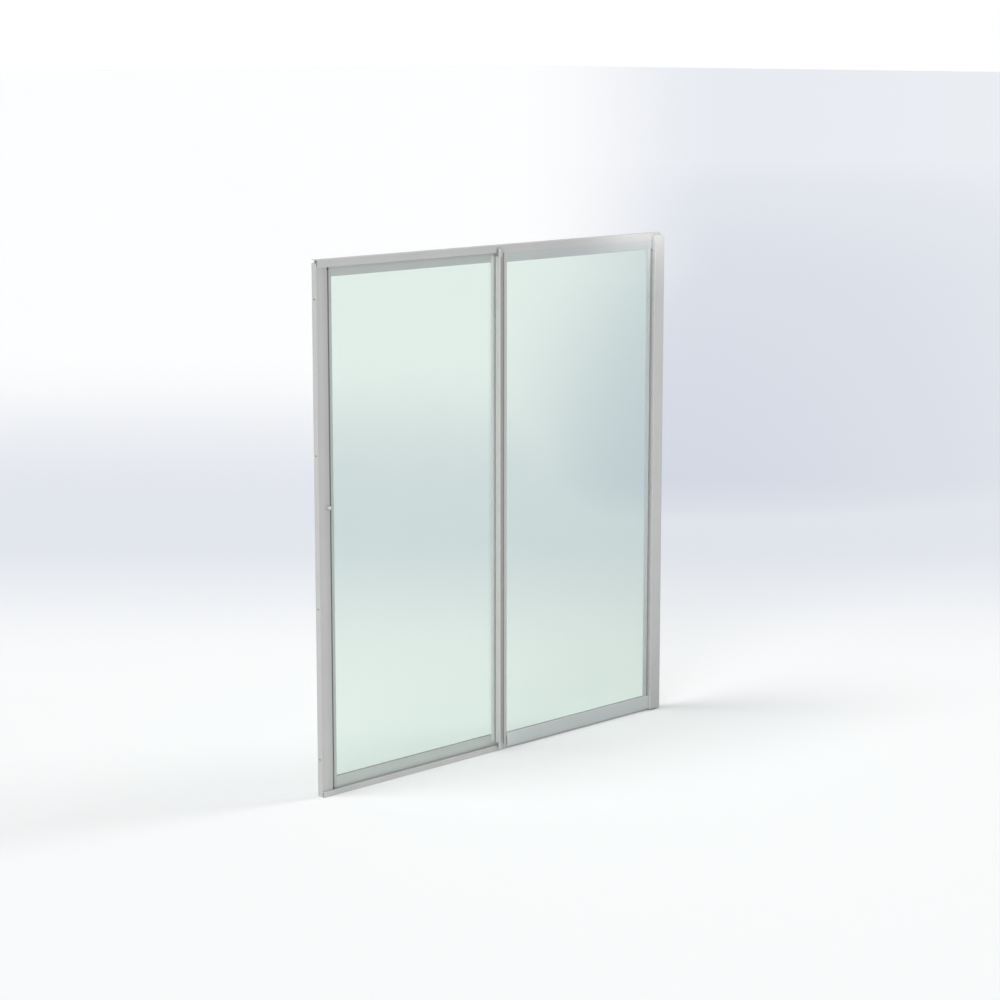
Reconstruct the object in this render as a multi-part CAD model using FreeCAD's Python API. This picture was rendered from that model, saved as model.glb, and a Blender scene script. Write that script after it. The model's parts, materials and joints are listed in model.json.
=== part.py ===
import FreeCAD, Part
import os
from FreeCAD import Vector

# Two-panel glass sliding door in an extruded aluminium frame.
# X runs along the door, from the lock jamb (left) to the fixed jamb (right).
# The weather side, with the fixed panel, faces -Y. Z is up.
# The origin is the middle of the sill's underside.

# Overall frame
frame_width = 1950.0
frame_height = 2100.0
frame_wall = 2.0          # wall of the header and sill extrusions
chamber_depth = 9.0       # hollow chamber along the front of header and sill
fascia_height = 30.0      # front face of the header
sill_lip_height = 22.0    # front face of the sill
rear_leg_height = 26.0    # rear leg of header and sill, between the jambs

# Room for the sliding panel between the chamber and the rear legs
panel_front_gap = 6.5
panel_rear_gap = 5.0

# Jambs
jamb_face = 55.0          # width of a jamb seen from the front
jamb_wall = 1.5
jamb_top_setback = 13.0   # from the top of the header down to the jamb ends
jamb_hole_radius = 3.5    # fixing holes through the jambs into the wall
jamb_hole_end = 150.0     # from the frame's ends to the first and last hole
jamb_hole_count = 4

# Box section that covers the fixed jamb
cover_face = 59.0
cover_projection = 18.0
cover_floor_gap = 6.0

# Track on the sill and guide fin on the header, on the panel's centre plane
fin_thickness = 1.6
track_fin_height = 8.4     # above the sill's base plate
track_bead_radius = 1.6
fin_end_setback = 3.0      # both fins start this far in from the frame's ends

# Glass, and the pockets that hold it in rails and stiles
glass_thickness = 5.0
pocket_depth = 12.0
glass_edge_gap = 2.0       # from the pane's edge to the pocket's floor
rear_lip_cutback = 8.0     # uprights' rear lips are cut back so that the pane swings in
gasket_lip = 2.5           # strips stand this far out of the bottom rails
strip_joint = 0.3          # between the strips at the corners

# Sliding panel
panel_thickness = 12.0
panel_wall = 1.5
panel_stile_width = 45.0
panel_jamb_entry = 18.5    # how far its edge stands inside the lock jamb
panel_post_overlap = 26.5  # how far its edge reaches behind the meeting post
panel_floor_gap = 5.0      # above the top of the track bead
panel_bottom_rail_height = 51.0
panel_top_rail_height = 44.0
panel_top_gap = 24.0       # below the top of the header
guide_groove_depth = 18.0
guide_fin_clear = 7.0      # from the groove's floor up to the fin's edge
roller_channel_depth = 20.0
lock_stile_step = 5.0      # the part that enters the jamb is set back this far

# Fixed panel, level with the front of the frame
fixed_depth = 10.0
fixed_wall = 1.5
fixed_top_rail_height = 40.0
fixed_bottom_rail_height = 43.5   # above the sill's lip
skirt_drop = 14.0                 # the bottom rail hangs down over the lip
skirt_step = 4.0                  # and stands this far in front of it
fixed_stile_face = 21.5
stile_shadow_gap = 8.5            # between the stile's face and the cover
rail_shadow_gap = 1.0             # between the rails' ends and the cover
stile_flange = 31.0               # lies on the fixed jamb
stile_flange_thickness = 2.0

# Meeting post, the fixed panel's inner stile with a raised nose
post_left_from_middle = -18.0
post_width = 54.5
post_land = 5.5                   # flat face between the nose and the glass pocket
post_nose_depth = 15.0            # in front of the frame
post_nose_corner = 4.0
post_nose_crown = 3.0             # how far the slope bulges
post_groove_width = 1.6           # shadow line between the nose and the flat land
post_groove_depth = 2.0
post_wall = 2.0
post_cope_height = 14.0           # cut away past the fascia and the lip
post_cope_room = 6.0              # in front of the fascia and the lip
cap_clearance = 0.2
cap_spigot = 12.0
cap_top_setback = 13.0            # below the top of the header
cap_floor_gap = 10.0

# Rollers
roller_radius = 7.0               # at the bottom of the groove
roller_flange = 2.5
roller_groove_flare = 1.0         # the groove's mouth is this much wider each side
roller_seat_gap = 0.3
roller_side_gap = 0.5
axle_radius = 2.0
axle_clearance = 0.1
housing_length = 46.0
housing_wall = 1.0
roller_inset = 60.0               # from the rail's end to the axle

# Guide shoes
shoe_length = 40.0
shoe_height = 14.0
shoe_gap = 0.3

# Pile seals against the sliding panel
seal_gap = 0.3
seal_width = 4.0
seal_edge = 1.0                   # in from the edge of the face that carries it

# Lock knob, and the stop that ends the panel's travel
knob_height = 1145.0
knob_from_frame_edge = 48.0
knob_foot_radius = 6.5
knob_neck_radius = 4.5
knob_head_radius = 7.5
knob_projection = 11.0
knob_edge = 1.2
stop_from_jamb = 11.0
stop_length = 14.0
stop_height = 24.0
stop_track_gap = 0.9

# Places worked out from the sizes
frame_depth = chamber_depth + panel_front_gap + panel_thickness + panel_rear_gap + frame_wall
glass_bite = pocket_depth - glass_edge_gap
post_flange = pocket_depth + fixed_wall + post_land
frame_left = -frame_width / 2
frame_right = frame_width / 2
front = -frame_depth / 2
rear = frame_depth / 2
chamber_rear = front + chamber_depth
panel_front = chamber_rear + panel_front_gap
panel_rear = panel_front + panel_thickness
panel_inner = (panel_front + panel_wall, panel_rear - panel_wall)
track_y = (panel_front + panel_rear) / 2
leg_front = rear - frame_wall
header_low = frame_height - fascia_height
jamb_top = frame_height - jamb_top_setback
jamb_left_edge = frame_left + jamb_face
jamb_right_edge = frame_right - jamb_face
cover_left = frame_right - cover_face
post_left = post_left_from_middle
post_right = post_left + post_width
bead_centre_z = frame_wall + track_fin_height
bead_top = bead_centre_z + track_bead_radius
panel_left = jamb_left_edge - panel_jamb_entry
panel_right = post_left + panel_post_overlap
panel_low = bead_top + panel_floor_gap
panel_top = frame_height - panel_top_gap
bottom_rail_top = panel_low + panel_bottom_rail_height
top_rail_low = panel_top - panel_top_rail_height
groove_floor = panel_top - guide_groove_depth
guide_fin_low = groove_floor + guide_fin_clear
rail_left = panel_left + panel_stile_width
rail_right = panel_right - panel_stile_width
lock_face_left = rail_left - pocket_depth - panel_wall
fixed_rear = front + fixed_depth
fixed_glass_y = front + fixed_depth / 2
fixed_rail_right = cover_left - rail_shadow_gap
fixed_stile_right = cover_left - stile_shadow_gap
fixed_stile_left = fixed_stile_right - fixed_stile_face
fixed_bottom_top = sill_lip_height + fixed_bottom_rail_height
fixed_top_low = header_low - fixed_top_rail_height
cope_front = front - post_cope_room
cope_low = sill_lip_height + post_cope_height
cope_high = header_low - post_cope_height
roller_axis_z = bead_top + roller_seat_gap + roller_radius
spare = 1.0   # how far a cutting solid runs past what it cuts

os.makedirs("parts", exist_ok=True)


def save(shape, node):
    """Write one node's solids to its own file."""
    shape.exportStep("parts/" + node + ".step")


def block(x, y, z):
    """A straight-sided block; x, y and z are its low and high places."""
    return Part.makeBox(x[1] - x[0], y[1] - y[0], z[1] - z[0], Vector(x[0], y[0], z[0]))


def section_yz(points):
    """A closed outline across the door, at X = 0."""
    corners = [Vector(0, y, z) for y, z in points]
    return Part.Face(Part.makePolygon(corners + corners[:1]))


def section_xy(points):
    """A closed outline seen from above, at Z = 0."""
    corners = [Vector(x, y, 0) for x, y in points]
    return Part.Face(Part.makePolygon(corners + corners[:1]))


def box_yz(y, z):
    """A rectangle across the door."""
    return section_yz([(y[0], z[0]), (y[1], z[0]), (y[1], z[1]), (y[0], z[1])])


def box_xy(x, y):
    """A rectangle seen from above."""
    return section_xy([(x[0], y[0]), (x[1], y[0]), (x[1], y[1]), (x[0], y[1])])


def along_x(section, x0, x1):
    """Extrude a YZ section along the door."""
    moved = section.copy()
    moved.translate(Vector(x0, 0, 0))
    return moved.extrude(Vector(x1 - x0, 0, 0))


def along_z(section, z0, z1):
    """Extrude an XY section upwards."""
    moved = section.copy()
    moved.translate(Vector(0, 0, z0))
    return moved.extrude(Vector(0, 0, z1 - z0))


def mirrored_x(shape):
    """The same piece handed to the other end of the door."""
    return shape.mirror(Vector(0, 0, 0), Vector(1, 0, 0))


def rod_y(x, z, radius, y):
    """A round bar that runs from front to back."""
    return Part.makeCylinder(radius, y[1] - y[0], Vector(x, y[0], z), Vector(0, 1, 0))


def turned_y(outline):
    """Turn an outline of radius and Y pairs about the Y axis."""
    corners = [Vector(0, y, radius) for radius, y in outline]
    face = Part.Face(Part.makePolygon(corners + corners[:1]))
    return face.revolve(Vector(0, 0, 0), Vector(0, 1, 0), 360)


def pocket_xy(mouth, side, inner, rear_face, z):
    """Glass pocket of an upright; side is 1 where the pane lies towards +X of it.
    Along the pane's height z, the lip behind it is cut back from the mouth."""
    deep = sorted((mouth - side * pocket_depth, mouth + side * spare))
    back = sorted((mouth - side * rear_lip_cutback, mouth + side * spare))
    whole = along_z(box_xy(deep, inner), -spare, frame_height + spare)
    return whole.fuse(block(back, (inner[1] - spare, rear_face + spare), z))


def end_copes(z):
    """Cuts that let the rear leg pass between the jambs and shorten the fin."""
    cuts = []
    for end, inward in ((frame_left, 1), (frame_right, -1)):
        leg_x = sorted((end - inward * spare, end + inward * jamb_face))
        fin_x = sorted((end - inward * spare, end + inward * fin_end_setback))
        cuts.append(block(leg_x, (leg_front - spare / 2, rear + spare), z))
        cuts.append(block(fin_x, (chamber_rear, rear + spare), z))
    return Part.makeCompound(cuts)


def header():
    """Front chamber, top plate, guide fin and rear leg in one extrusion."""
    top = frame_height
    under = top - frame_wall
    leg_low = top - rear_leg_height
    fin = (track_y - fin_thickness / 2, track_y + fin_thickness / 2)
    outer = section_yz([
        (front, header_low), (front, top), (rear, top), (rear, leg_low),
        (leg_front, leg_low), (leg_front, under), (fin[1], under), (fin[1], guide_fin_low),
        (fin[0], guide_fin_low), (fin[0], under), (chamber_rear, under),
        (chamber_rear, header_low)])
    bore = box_yz((front + frame_wall, chamber_rear - frame_wall),
                  (header_low + frame_wall, under))
    bar = along_x(outer.cut(bore), frame_left, frame_right)
    return bar.cut(end_copes((min(guide_fin_low, leg_low) - spare, under)))


def sill():
    """Front chamber, base plate, track fin with its bead and rear leg."""
    fin = (track_y - fin_thickness / 2, track_y + fin_thickness / 2)
    outer = section_yz([
        (front, 0), (rear, 0), (rear, rear_leg_height), (leg_front, rear_leg_height),
        (leg_front, frame_wall), (fin[1], frame_wall), (fin[1], bead_centre_z),
        (fin[0], bead_centre_z), (fin[0], frame_wall), (chamber_rear, frame_wall),
        (chamber_rear, sill_lip_height), (front, sill_lip_height)])
    bore = box_yz((front + frame_wall, chamber_rear - frame_wall),
                  (frame_wall, sill_lip_height - frame_wall))
    bar = along_x(outer.cut(bore), frame_left, frame_right)
    bead = Part.makeCylinder(track_bead_radius, frame_width,
                             Vector(frame_left, track_y, bead_centre_z), Vector(1, 0, 0))
    bar = bar.fuse(bead).removeSplitter()
    return bar.cut(end_copes((frame_wall, rear_leg_height + spare)))


def left_jamb():
    """U-shaped channel that opens towards the sliding panel."""
    x = (frame_left, jamb_left_edge)
    outer = box_xy(x, (chamber_rear, rear))
    room = box_xy((x[0] + jamb_wall, x[1] + spare), (chamber_rear + jamb_wall, rear - jamb_wall))
    bar = along_z(outer.cut(room), frame_wall, jamb_top)
    middle = (chamber_rear + rear) / 2
    pitch = (frame_height - 2 * jamb_hole_end) / (jamb_hole_count - 1)
    for row in range(jamb_hole_count):
        centre = Vector(x[0] - spare, middle, jamb_hole_end + row * pitch)
        bar = bar.cut(Part.makeCylinder(jamb_hole_radius, jamb_wall + 2 * spare, centre,
                                        Vector(1, 0, 0)))
    return bar


def right_jamb_cover():
    """Box section on the front of header and sill, with two legs to the jamb."""
    x = (cover_left, frame_right)
    box_y = (front - cover_projection, front)
    inner_x = (x[0] + jamb_wall, x[1] - jamb_wall)
    bore = box_xy(inner_x, (box_y[0] + jamb_wall, box_y[1] - jamb_wall))
    tube = along_z(box_xy(x, box_y).cut(bore), cover_floor_gap, jamb_top)
    leg_z = (sill_lip_height, header_low)
    left_leg = block((x[0], inner_x[0]), (front, chamber_rear - stile_flange_thickness), leg_z)
    right_leg = block((inner_x[1], x[1]), (front, chamber_rear), leg_z)
    return tube.fuse([left_leg, right_leg]).removeSplitter()


def post_nose(inset):
    """The nose from above: steep side, rounded corner and a long crowned slope."""
    left = post_left + inset
    right = post_right - post_flange - post_groove_width - inset
    crest_y = front - post_nose_depth + inset
    back = fixed_rear - inset
    corner = post_nose_corner
    start = Vector(left, crest_y + corner, 0)
    crest = Vector(left + corner, crest_y, 0)
    centre = Vector(left + corner, crest_y + corner, 0)
    bend = centre + (Vector(left, crest_y, 0) - centre).normalize() * corner
    root = Vector(right, front + inset / 2, 0)
    slope = root - crest
    out = Vector(slope.y, -slope.x, 0).normalize()
    crown = (crest + root) / 2 + out * post_nose_crown
    edges = [
        Part.makeLine(Vector(left, back, 0), start),
        Part.Arc(start, bend, crest).toShape(),
        Part.Arc(crest, crown, root).toShape(),
        Part.makeLine(root, Vector(right, back, 0)),
        Part.makeLine(Vector(right, back, 0), Vector(left, back, 0))]
    return Part.Face(Part.Wire(edges))


def meeting_post():
    """Nosed stile with a groove beside the nose. Only its flange meets fascia and lip."""
    flange_x = (post_right - post_flange, post_right)
    inner = (front + fixed_wall, fixed_rear - fixed_wall)
    bore = box_xy((flange_x[0] + fixed_wall, post_right - pocket_depth - fixed_wall), inner)
    nose = post_nose(0.0).cut(post_nose(post_wall))
    tube = along_z(nose, cope_low, cope_high)
    web = box_xy((flange_x[0] - post_groove_width, flange_x[0]),
                 (front + post_groove_depth, fixed_rear))
    flange = along_z(box_xy(flange_x, (front, fixed_rear)).cut(bore),
                     sill_lip_height, header_low)
    pocket = pocket_xy(post_right, 1, inner, fixed_rear, (fixed_bottom_top, fixed_top_low))
    joined = tube.fuse([along_z(web, cope_low, cope_high), flange.cut(pocket)])
    return joined.removeSplitter()


def post_cap(end_z, cope_z):
    """Moulded end of the nose, in front of the frame, with a spigot in the post."""
    inward = 1 if cope_z > end_z else -1
    reach = (front - post_nose_depth - spare, cope_front)
    across = (post_left - spare, post_right + spare)
    body_z = sorted((end_z, cope_z))
    spigot_z = sorted((cope_z - inward * spare, cope_z + inward * cap_spigot))
    body = along_z(post_nose(0.0), *body_z).common(block(across, reach, body_z))
    plug = along_z(post_nose(post_wall + cap_clearance), *spigot_z)
    plug = plug.common(block(across, reach, spigot_z))
    return body.fuse(plug).removeSplitter()


def fixed_top_rail():
    """Rail flush under the header's fascia, with the glass pocket below."""
    low, high = fixed_top_low, header_low
    inner = (front + fixed_wall, fixed_rear - fixed_wall)
    outer = box_yz((front, fixed_rear), (low, high))
    pocket = box_yz(inner, (low - spare, low + pocket_depth))
    bore = box_yz(inner, (low + pocket_depth + fixed_wall, high - fixed_wall))
    return along_x(outer.cut(pocket).cut(bore), post_right, fixed_rail_right)


def fixed_bottom_rail():
    """Rail on the sill's lip, with a skirt that hangs down in front of the lip."""
    face = front - skirt_step
    low, seat, high = sill_lip_height - skirt_drop, sill_lip_height, fixed_bottom_top
    outer = section_yz([
        (face, low), (face + fixed_wall, low), (face + fixed_wall, seat),
        (fixed_rear, seat), (fixed_rear, high), (face, high)])
    pocket = box_yz((front + fixed_wall, fixed_rear - fixed_wall),
                    (high - pocket_depth, high + spare))
    bore = box_yz((face + fixed_wall, fixed_rear - fixed_wall),
                  (seat + fixed_wall, high - pocket_depth - fixed_wall))
    return along_x(outer.cut(pocket).cut(bore), post_right, fixed_rail_right)


def fixed_right_stile():
    """Upright beside the fixed jamb, with a flange that lies on the jamb."""
    x = (fixed_stile_left, fixed_stile_right)
    inner = (front + fixed_wall, fixed_rear - fixed_wall)
    bore = box_xy((x[0] + pocket_depth + fixed_wall, x[1] - fixed_wall), inner)
    flange = box_xy((x[1], x[1] + stile_flange),
                    (chamber_rear - stile_flange_thickness, chamber_rear))
    ends = (fixed_bottom_top, fixed_top_low)
    tube = along_z(box_xy(x, (front, fixed_rear)).cut(bore), *ends)
    tube = tube.cut(pocket_xy(x[0], -1, inner, fixed_rear, ends))
    return tube.fuse(along_z(flange, *ends)).removeSplitter()


def panel_upright(profile, x, mouth, side):
    """A stile with its glass pocket, notched at the top for the header's fin."""
    notch = block((x[0] - spare, x[1] + spare), panel_inner, (groove_floor, panel_top + spare))
    pocket = pocket_xy(mouth, side, panel_inner, panel_rear, (bottom_rail_top, top_rail_low))
    return along_z(profile, panel_low, panel_top).cut(notch).cut(pocket)


def sliding_lock_stile():
    """Hollow stile whose outer part, set back from its face, enters the jamb."""
    tongue_front = panel_front + lock_stile_step
    outer = section_xy([
        (panel_left, tongue_front), (lock_face_left, tongue_front), (lock_face_left, panel_front),
        (rail_left, panel_front), (rail_left, panel_rear), (panel_left, panel_rear)])
    bore = box_xy((panel_left + panel_wall, lock_face_left),
                  (tongue_front + panel_wall, panel_inner[1]))
    return panel_upright(outer.cut(bore), (panel_left, rail_left), rail_left, 1)


def sliding_meeting_stile():
    """Hollow stile behind the post, with the glass pocket on its inner side."""
    x = (rail_right, panel_right)
    bore = box_xy((x[0] + pocket_depth + panel_wall, x[1] - panel_wall), panel_inner)
    return panel_upright(box_xy(x, (panel_front, panel_rear)).cut(bore), x, rail_right, -1)


def sliding_top_rail():
    """Rail with the guide groove above and the glass pocket below."""
    pocket_top = top_rail_low + pocket_depth
    outer = box_yz((panel_front, panel_rear), (top_rail_low, panel_top))
    pocket = box_yz(panel_inner, (top_rail_low - spare, pocket_top))
    bore = box_yz(panel_inner, (pocket_top + panel_wall, groove_floor - panel_wall))
    groove = box_yz(panel_inner, (groove_floor, panel_top + spare))
    return along_x(outer.cut(pocket).cut(bore).cut(groove), rail_left, rail_right)


def sliding_bottom_rail():
    """Rail with the glass pocket above and the roller channel below."""
    pocket_low = bottom_rail_top - pocket_depth
    channel_top = panel_low + roller_channel_depth
    outer = box_yz((panel_front, panel_rear), (panel_low, bottom_rail_top))
    pocket = box_yz(panel_inner, (pocket_low, bottom_rail_top + spare))
    bore = box_yz(panel_inner, (channel_top + panel_wall, pocket_low - panel_wall))
    channel = box_yz(panel_inner, (panel_low - spare, channel_top))
    return along_x(outer.cut(pocket).cut(bore).cut(channel), rail_left, rail_right)


def glass_pane(x, z, y_middle):
    """A pane that enters the pockets on all four sides of its daylight."""
    half = glass_thickness / 2
    return block((x[0] - glass_bite, x[1] + glass_bite), (y_middle - half, y_middle + half),
                 (z[0] - glass_bite, z[1] + glass_bite))


def glazing_gaskets(x, z, y_middle, pocket_half):
    """Strips on both faces of a pane, in the four pockets round its daylight."""
    half = glass_thickness / 2
    tall = (z[0] - glass_bite, z[1] + glass_bite)
    wide = (x[0] + strip_joint, x[1] - strip_joint)
    strips = []
    faces = (((y_middle - pocket_half, y_middle - half), 0.0),
             ((y_middle + half, y_middle + pocket_half), rear_lip_cutback))
    for y, cutback in faces:
        strips.append(block((x[0] - glass_bite, x[0] - cutback), y, tall))
        strips.append(block((x[1] + cutback, x[1] + glass_bite), y, tall))
        strips.append(block(wide, y, (tall[0], z[0] + gasket_lip)))
        strips.append(block(wide, y, (z[1], tall[1])))
    return Part.makeCompound(strips)


def roller_wheel(x):
    """Nylon wheel whose groove sits round the track's bead."""
    half = panel_thickness / 2 - panel_wall - housing_wall - roller_side_gap
    rim = roller_radius + roller_flange
    mouth = track_bead_radius + 2 * roller_seat_gap
    floor = mouth - roller_groove_flare
    bore = axle_radius + axle_clearance
    wheel = turned_y([(bore, -half), (rim, -half), (rim, -mouth), (roller_radius, -floor),
                      (roller_radius, floor), (rim, mouth), (rim, half), (bore, half)])
    wheel.translate(Vector(x, track_y, roller_axis_z))
    return wheel


def roller_housing(x):
    """Inverted U of folded sheet that carries the axle inside the rail."""
    top = panel_low + roller_channel_depth
    outer = box_yz(panel_inner, (panel_low, top))
    room = box_yz((panel_inner[0] + housing_wall, panel_inner[1] - housing_wall),
                  (panel_low - spare, top - housing_wall))
    shell = along_x(outer.cut(room), x - housing_length / 2, x + housing_length / 2)
    return shell.cut(rod_y(x, roller_axis_z, axle_radius + axle_clearance,
                           (panel_inner[0] - spare, panel_inner[1] + spare)))


def guide_shoe(x):
    """Nylon block on the groove's floor, slotted for the header's fin."""
    top = groove_floor + shoe_height
    outer = box_yz(panel_inner, (groove_floor, top))
    half = fin_thickness / 2 + shoe_gap
    slot = box_yz((track_y - half, track_y + half), (guide_fin_low - shoe_gap, top + spare))
    return along_x(outer.cut(slot), x - shoe_length / 2, x + shoe_length / 2)


def lock_knob():
    """Small turned knob on the lock jamb's face."""
    foot = knob_projection / 6
    neck = knob_projection / 2
    shoulder = neck + knob_edge
    end = knob_projection
    knob = turned_y([
        (0, 0), (knob_foot_radius, 0), (knob_foot_radius, -foot), (knob_neck_radius, -foot),
        (knob_neck_radius, -neck), (knob_head_radius, -shoulder),
        (knob_head_radius, knob_edge - end), (knob_head_radius - knob_edge, -end), (0, -end)])
    knob.translate(Vector(frame_left + knob_from_frame_edge, chamber_rear, knob_height))
    return knob


def open_stop():
    """Rubber block behind the track that ends the panel's travel."""
    x0 = jamb_right_edge - stop_from_jamb
    y0 = track_y + track_bead_radius + stop_track_gap
    return block((x0, x0 + stop_length), (y0, leg_front), (frame_wall, frame_wall + stop_height))


seal_x = (jamb_left_edge, jamb_right_edge)
seal_y = (chamber_rear, panel_front - seal_gap)
header_seal_low = header_low + seal_edge
sill_seal_top = sill_lip_height - seal_edge
post_seal_left = post_left + post_wall
fixed_light = ((post_right, fixed_stile_left), (fixed_bottom_top, fixed_top_low))
sliding_light = ((rail_left, rail_right), (bottom_rail_top, top_rail_low))

save(header(), "header")
save(sill(), "sill")
save(left_jamb(), "left_jamb")
save(mirrored_x(left_jamb()), "right_jamb")
save(right_jamb_cover(), "right_jamb_cover")
save(meeting_post(), "meeting_post")
save(post_cap(frame_height - cap_top_setback, cope_high), "post_top_cap")
save(post_cap(cap_floor_gap, cope_low), "post_bottom_cap")
save(fixed_top_rail(), "fixed_top_rail")
save(fixed_bottom_rail(), "fixed_bottom_rail")
save(fixed_right_stile(), "fixed_right_stile")
save(glass_pane(*fixed_light, fixed_glass_y), "fixed_glass")
save(glazing_gaskets(*fixed_light, fixed_glass_y, fixed_depth / 2 - fixed_wall),
     "fixed_glazing_gaskets")
save(block(seal_x, seal_y, (header_seal_low, header_seal_low + seal_width)),
     "header_weather_seal")
save(block(seal_x, seal_y, (sill_seal_top - seal_width, sill_seal_top)), "sill_weather_seal")
save(block((post_seal_left, post_seal_left + seal_width), (fixed_rear, seal_y[1]),
           (cope_low, cope_high)), "post_weather_seal")
save(lock_knob(), "lock_knob")
save(open_stop(), "open_stop")

save(sliding_lock_stile(), "sliding_lock_stile")
save(sliding_meeting_stile(), "sliding_meeting_stile")
save(sliding_top_rail(), "sliding_top_rail")
save(sliding_bottom_rail(), "sliding_bottom_rail")
save(glass_pane(*sliding_light, track_y), "sliding_glass")
save(glazing_gaskets(*sliding_light, track_y, panel_thickness / 2 - panel_wall),
     "sliding_glazing_gaskets")
for side, x in (("left", rail_left + roller_inset), ("right", rail_right - roller_inset)):
    save(roller_wheel(x), side + "_roller_wheel")
    save(roller_housing(x), side + "_roller_housing")
    save(rod_y(x, roller_axis_z, axle_radius, panel_inner), side + "_roller_axle")
    save(guide_shoe(x), side + "_guide_shoe")
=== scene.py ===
# %% [markdown]
# # Glass sliding patio door
#
# The door has two panes in a frame of extruded aluminium. The left panel rolls to the right,
# behind the fixed one. The bars, panes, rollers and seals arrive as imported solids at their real
# size, and this lesson dresses them: it rounds their edges, gives the seals their pile and
# paints every surface. Nothing that arrives is moved or resized.

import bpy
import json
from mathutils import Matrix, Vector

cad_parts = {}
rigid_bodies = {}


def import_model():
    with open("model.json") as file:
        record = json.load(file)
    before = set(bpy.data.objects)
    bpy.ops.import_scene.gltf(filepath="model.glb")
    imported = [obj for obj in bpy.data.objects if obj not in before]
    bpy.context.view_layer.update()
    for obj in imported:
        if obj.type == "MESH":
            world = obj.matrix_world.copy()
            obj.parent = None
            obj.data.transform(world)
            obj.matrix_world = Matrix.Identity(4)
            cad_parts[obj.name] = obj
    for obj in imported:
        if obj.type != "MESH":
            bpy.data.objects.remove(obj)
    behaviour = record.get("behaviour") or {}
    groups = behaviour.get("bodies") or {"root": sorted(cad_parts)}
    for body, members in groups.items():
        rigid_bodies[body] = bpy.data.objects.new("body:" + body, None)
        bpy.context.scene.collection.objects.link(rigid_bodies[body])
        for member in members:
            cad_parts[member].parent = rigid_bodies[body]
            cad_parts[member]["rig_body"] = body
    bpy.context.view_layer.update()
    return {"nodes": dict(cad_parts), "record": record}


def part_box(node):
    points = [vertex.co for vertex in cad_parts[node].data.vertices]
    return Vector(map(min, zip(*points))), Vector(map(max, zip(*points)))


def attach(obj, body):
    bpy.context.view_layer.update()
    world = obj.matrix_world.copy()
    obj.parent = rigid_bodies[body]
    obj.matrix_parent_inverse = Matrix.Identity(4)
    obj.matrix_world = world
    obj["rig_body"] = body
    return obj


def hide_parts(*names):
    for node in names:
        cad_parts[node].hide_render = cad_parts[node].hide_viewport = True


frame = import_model()

# %% [markdown]
# ## Slots to start from
#
# The record says which material slot each node takes its finish from, and each node knows the body
# that it rides on.

# %% The slots
import json
import math

import bpy
from mathutils import Vector

slot_of = {row["node"]: row["material_slot"] for row in frame["record"]["subparts"]}

# %% [markdown]
# ## The camera
#
# The photograph looks at the front from its left end, slightly down, with the eye almost three
# metres up. Its vanishing points and the door's outline give the place of the eye, the heading, the
# pitch and the length of the lens in pixels. The lens is set in millimetres on a 36 mm sensor, so
# that length is scaled by the width of the image.

# %% Camera
eye = Vector((-7.3947, -7.4060, 2.9529))
heading = math.radians(45.011)
pitch_down = math.radians(10.274)
lens_in_pixels = 2594.5
image_width = 1000

camera_data = bpy.data.cameras.new("camera")
camera_data.sensor_width = 36.0
camera_data.lens = lens_in_pixels * camera_data.sensor_width / image_width
camera_data.clip_end = 500.0
camera = bpy.data.objects.new("camera", camera_data)
camera.location = eye
camera.rotation_euler = (math.radians(90) - pitch_down, 0, -heading)
bpy.context.scene.collection.objects.link(camera)
bpy.context.scene.camera = camera
bpy.context.scene.view_settings.view_transform = "Standard"
print("lens:", round(camera_data.lens, 2), "mm")

# %% [markdown]
# ## A helper for node trees
#
# A material is a small graph. Wiring it by hand takes three lines for every link, so one helper
# adds a node, sets its plain values and links its inputs in a single call. It is used for the
# floor, the sky and every finish below.


# %% Node helper
def feed(tree, socket, value):
    """Gives an input its value: another socket is linked, and anything else is set."""
    if isinstance(value, bpy.types.NodeSocket):
        tree.links.new(value, socket)
    else:
        socket.default_value = value


def add_node(tree, kind, inputs=None, **settings):
    """Adds a shader node. An input's value is a socket to link or a plain value to set."""
    node = tree.nodes.new("ShaderNode" + kind)
    for name, value in settings.items():
        setattr(node, name, value)
    for name, value in (inputs or {}).items():
        feed(tree, node.inputs[name], value)
    return node


def remap(tree, value, low, high, new_low=0.0, new_high=1.0, smooth=False):
    """Stretches a value from one span to another and stops it at the ends."""
    kind = "SMOOTHSTEP" if smooth else "LINEAR"
    spans = {"Value": value, "From Min": low, "From Max": high, "To Min": new_low, "To Max": new_high}
    return add_node(tree, "MapRange", spans, interpolation_type=kind).outputs["Result"]


def combine(tree, operation, first, second):
    """One step of arithmetic on two values."""
    return add_node(tree, "Math", {0: first, 1: second}, operation=operation).outputs["Value"]


def blend_colours(tree, share, first, second):
    """Mixes two colours by a share from 0 to 1."""
    return add_node(tree, "Mix", {0: share, 6: first, 7: second}, data_type="RGBA").outputs[2]


def object_place(tree):
    """The place on the object, so that a pattern stays put on its piece."""
    return add_node(tree, "TexCoord").outputs["Object"]


def new_material(name):
    """A material with its node tree and its main shader."""
    material = bpy.data.materials.new(name)
    material.use_nodes = True
    return material, material.node_tree, material.node_tree.nodes["Principled BSDF"]


print("helpers ready")

# %% [markdown]
# ## Floor and sky
#
# The photograph has a white floor that turns a soft blue-grey further back, most of all behind
# the right half of the door, and white again above. Glass shows whatever stands behind it, so
# this tone matters for the panes too. One very large floor carries it, as a colour that depends
# on the place on the floor: a band across at one distance, and a wedge that opens to the right.
# Metal also needs something to mirror. For glossy rays only, the floor and sky are painted darker
# toward the right end: a painted reflection that turns faces looking that way darker, such as the
# slope of the post.

# %% Painted reflection of a dim end
dim_heading = math.radians(8)
dim_core = math.radians(25)
dim_fade = math.radians(58)
dim_strength = 0.60


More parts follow.
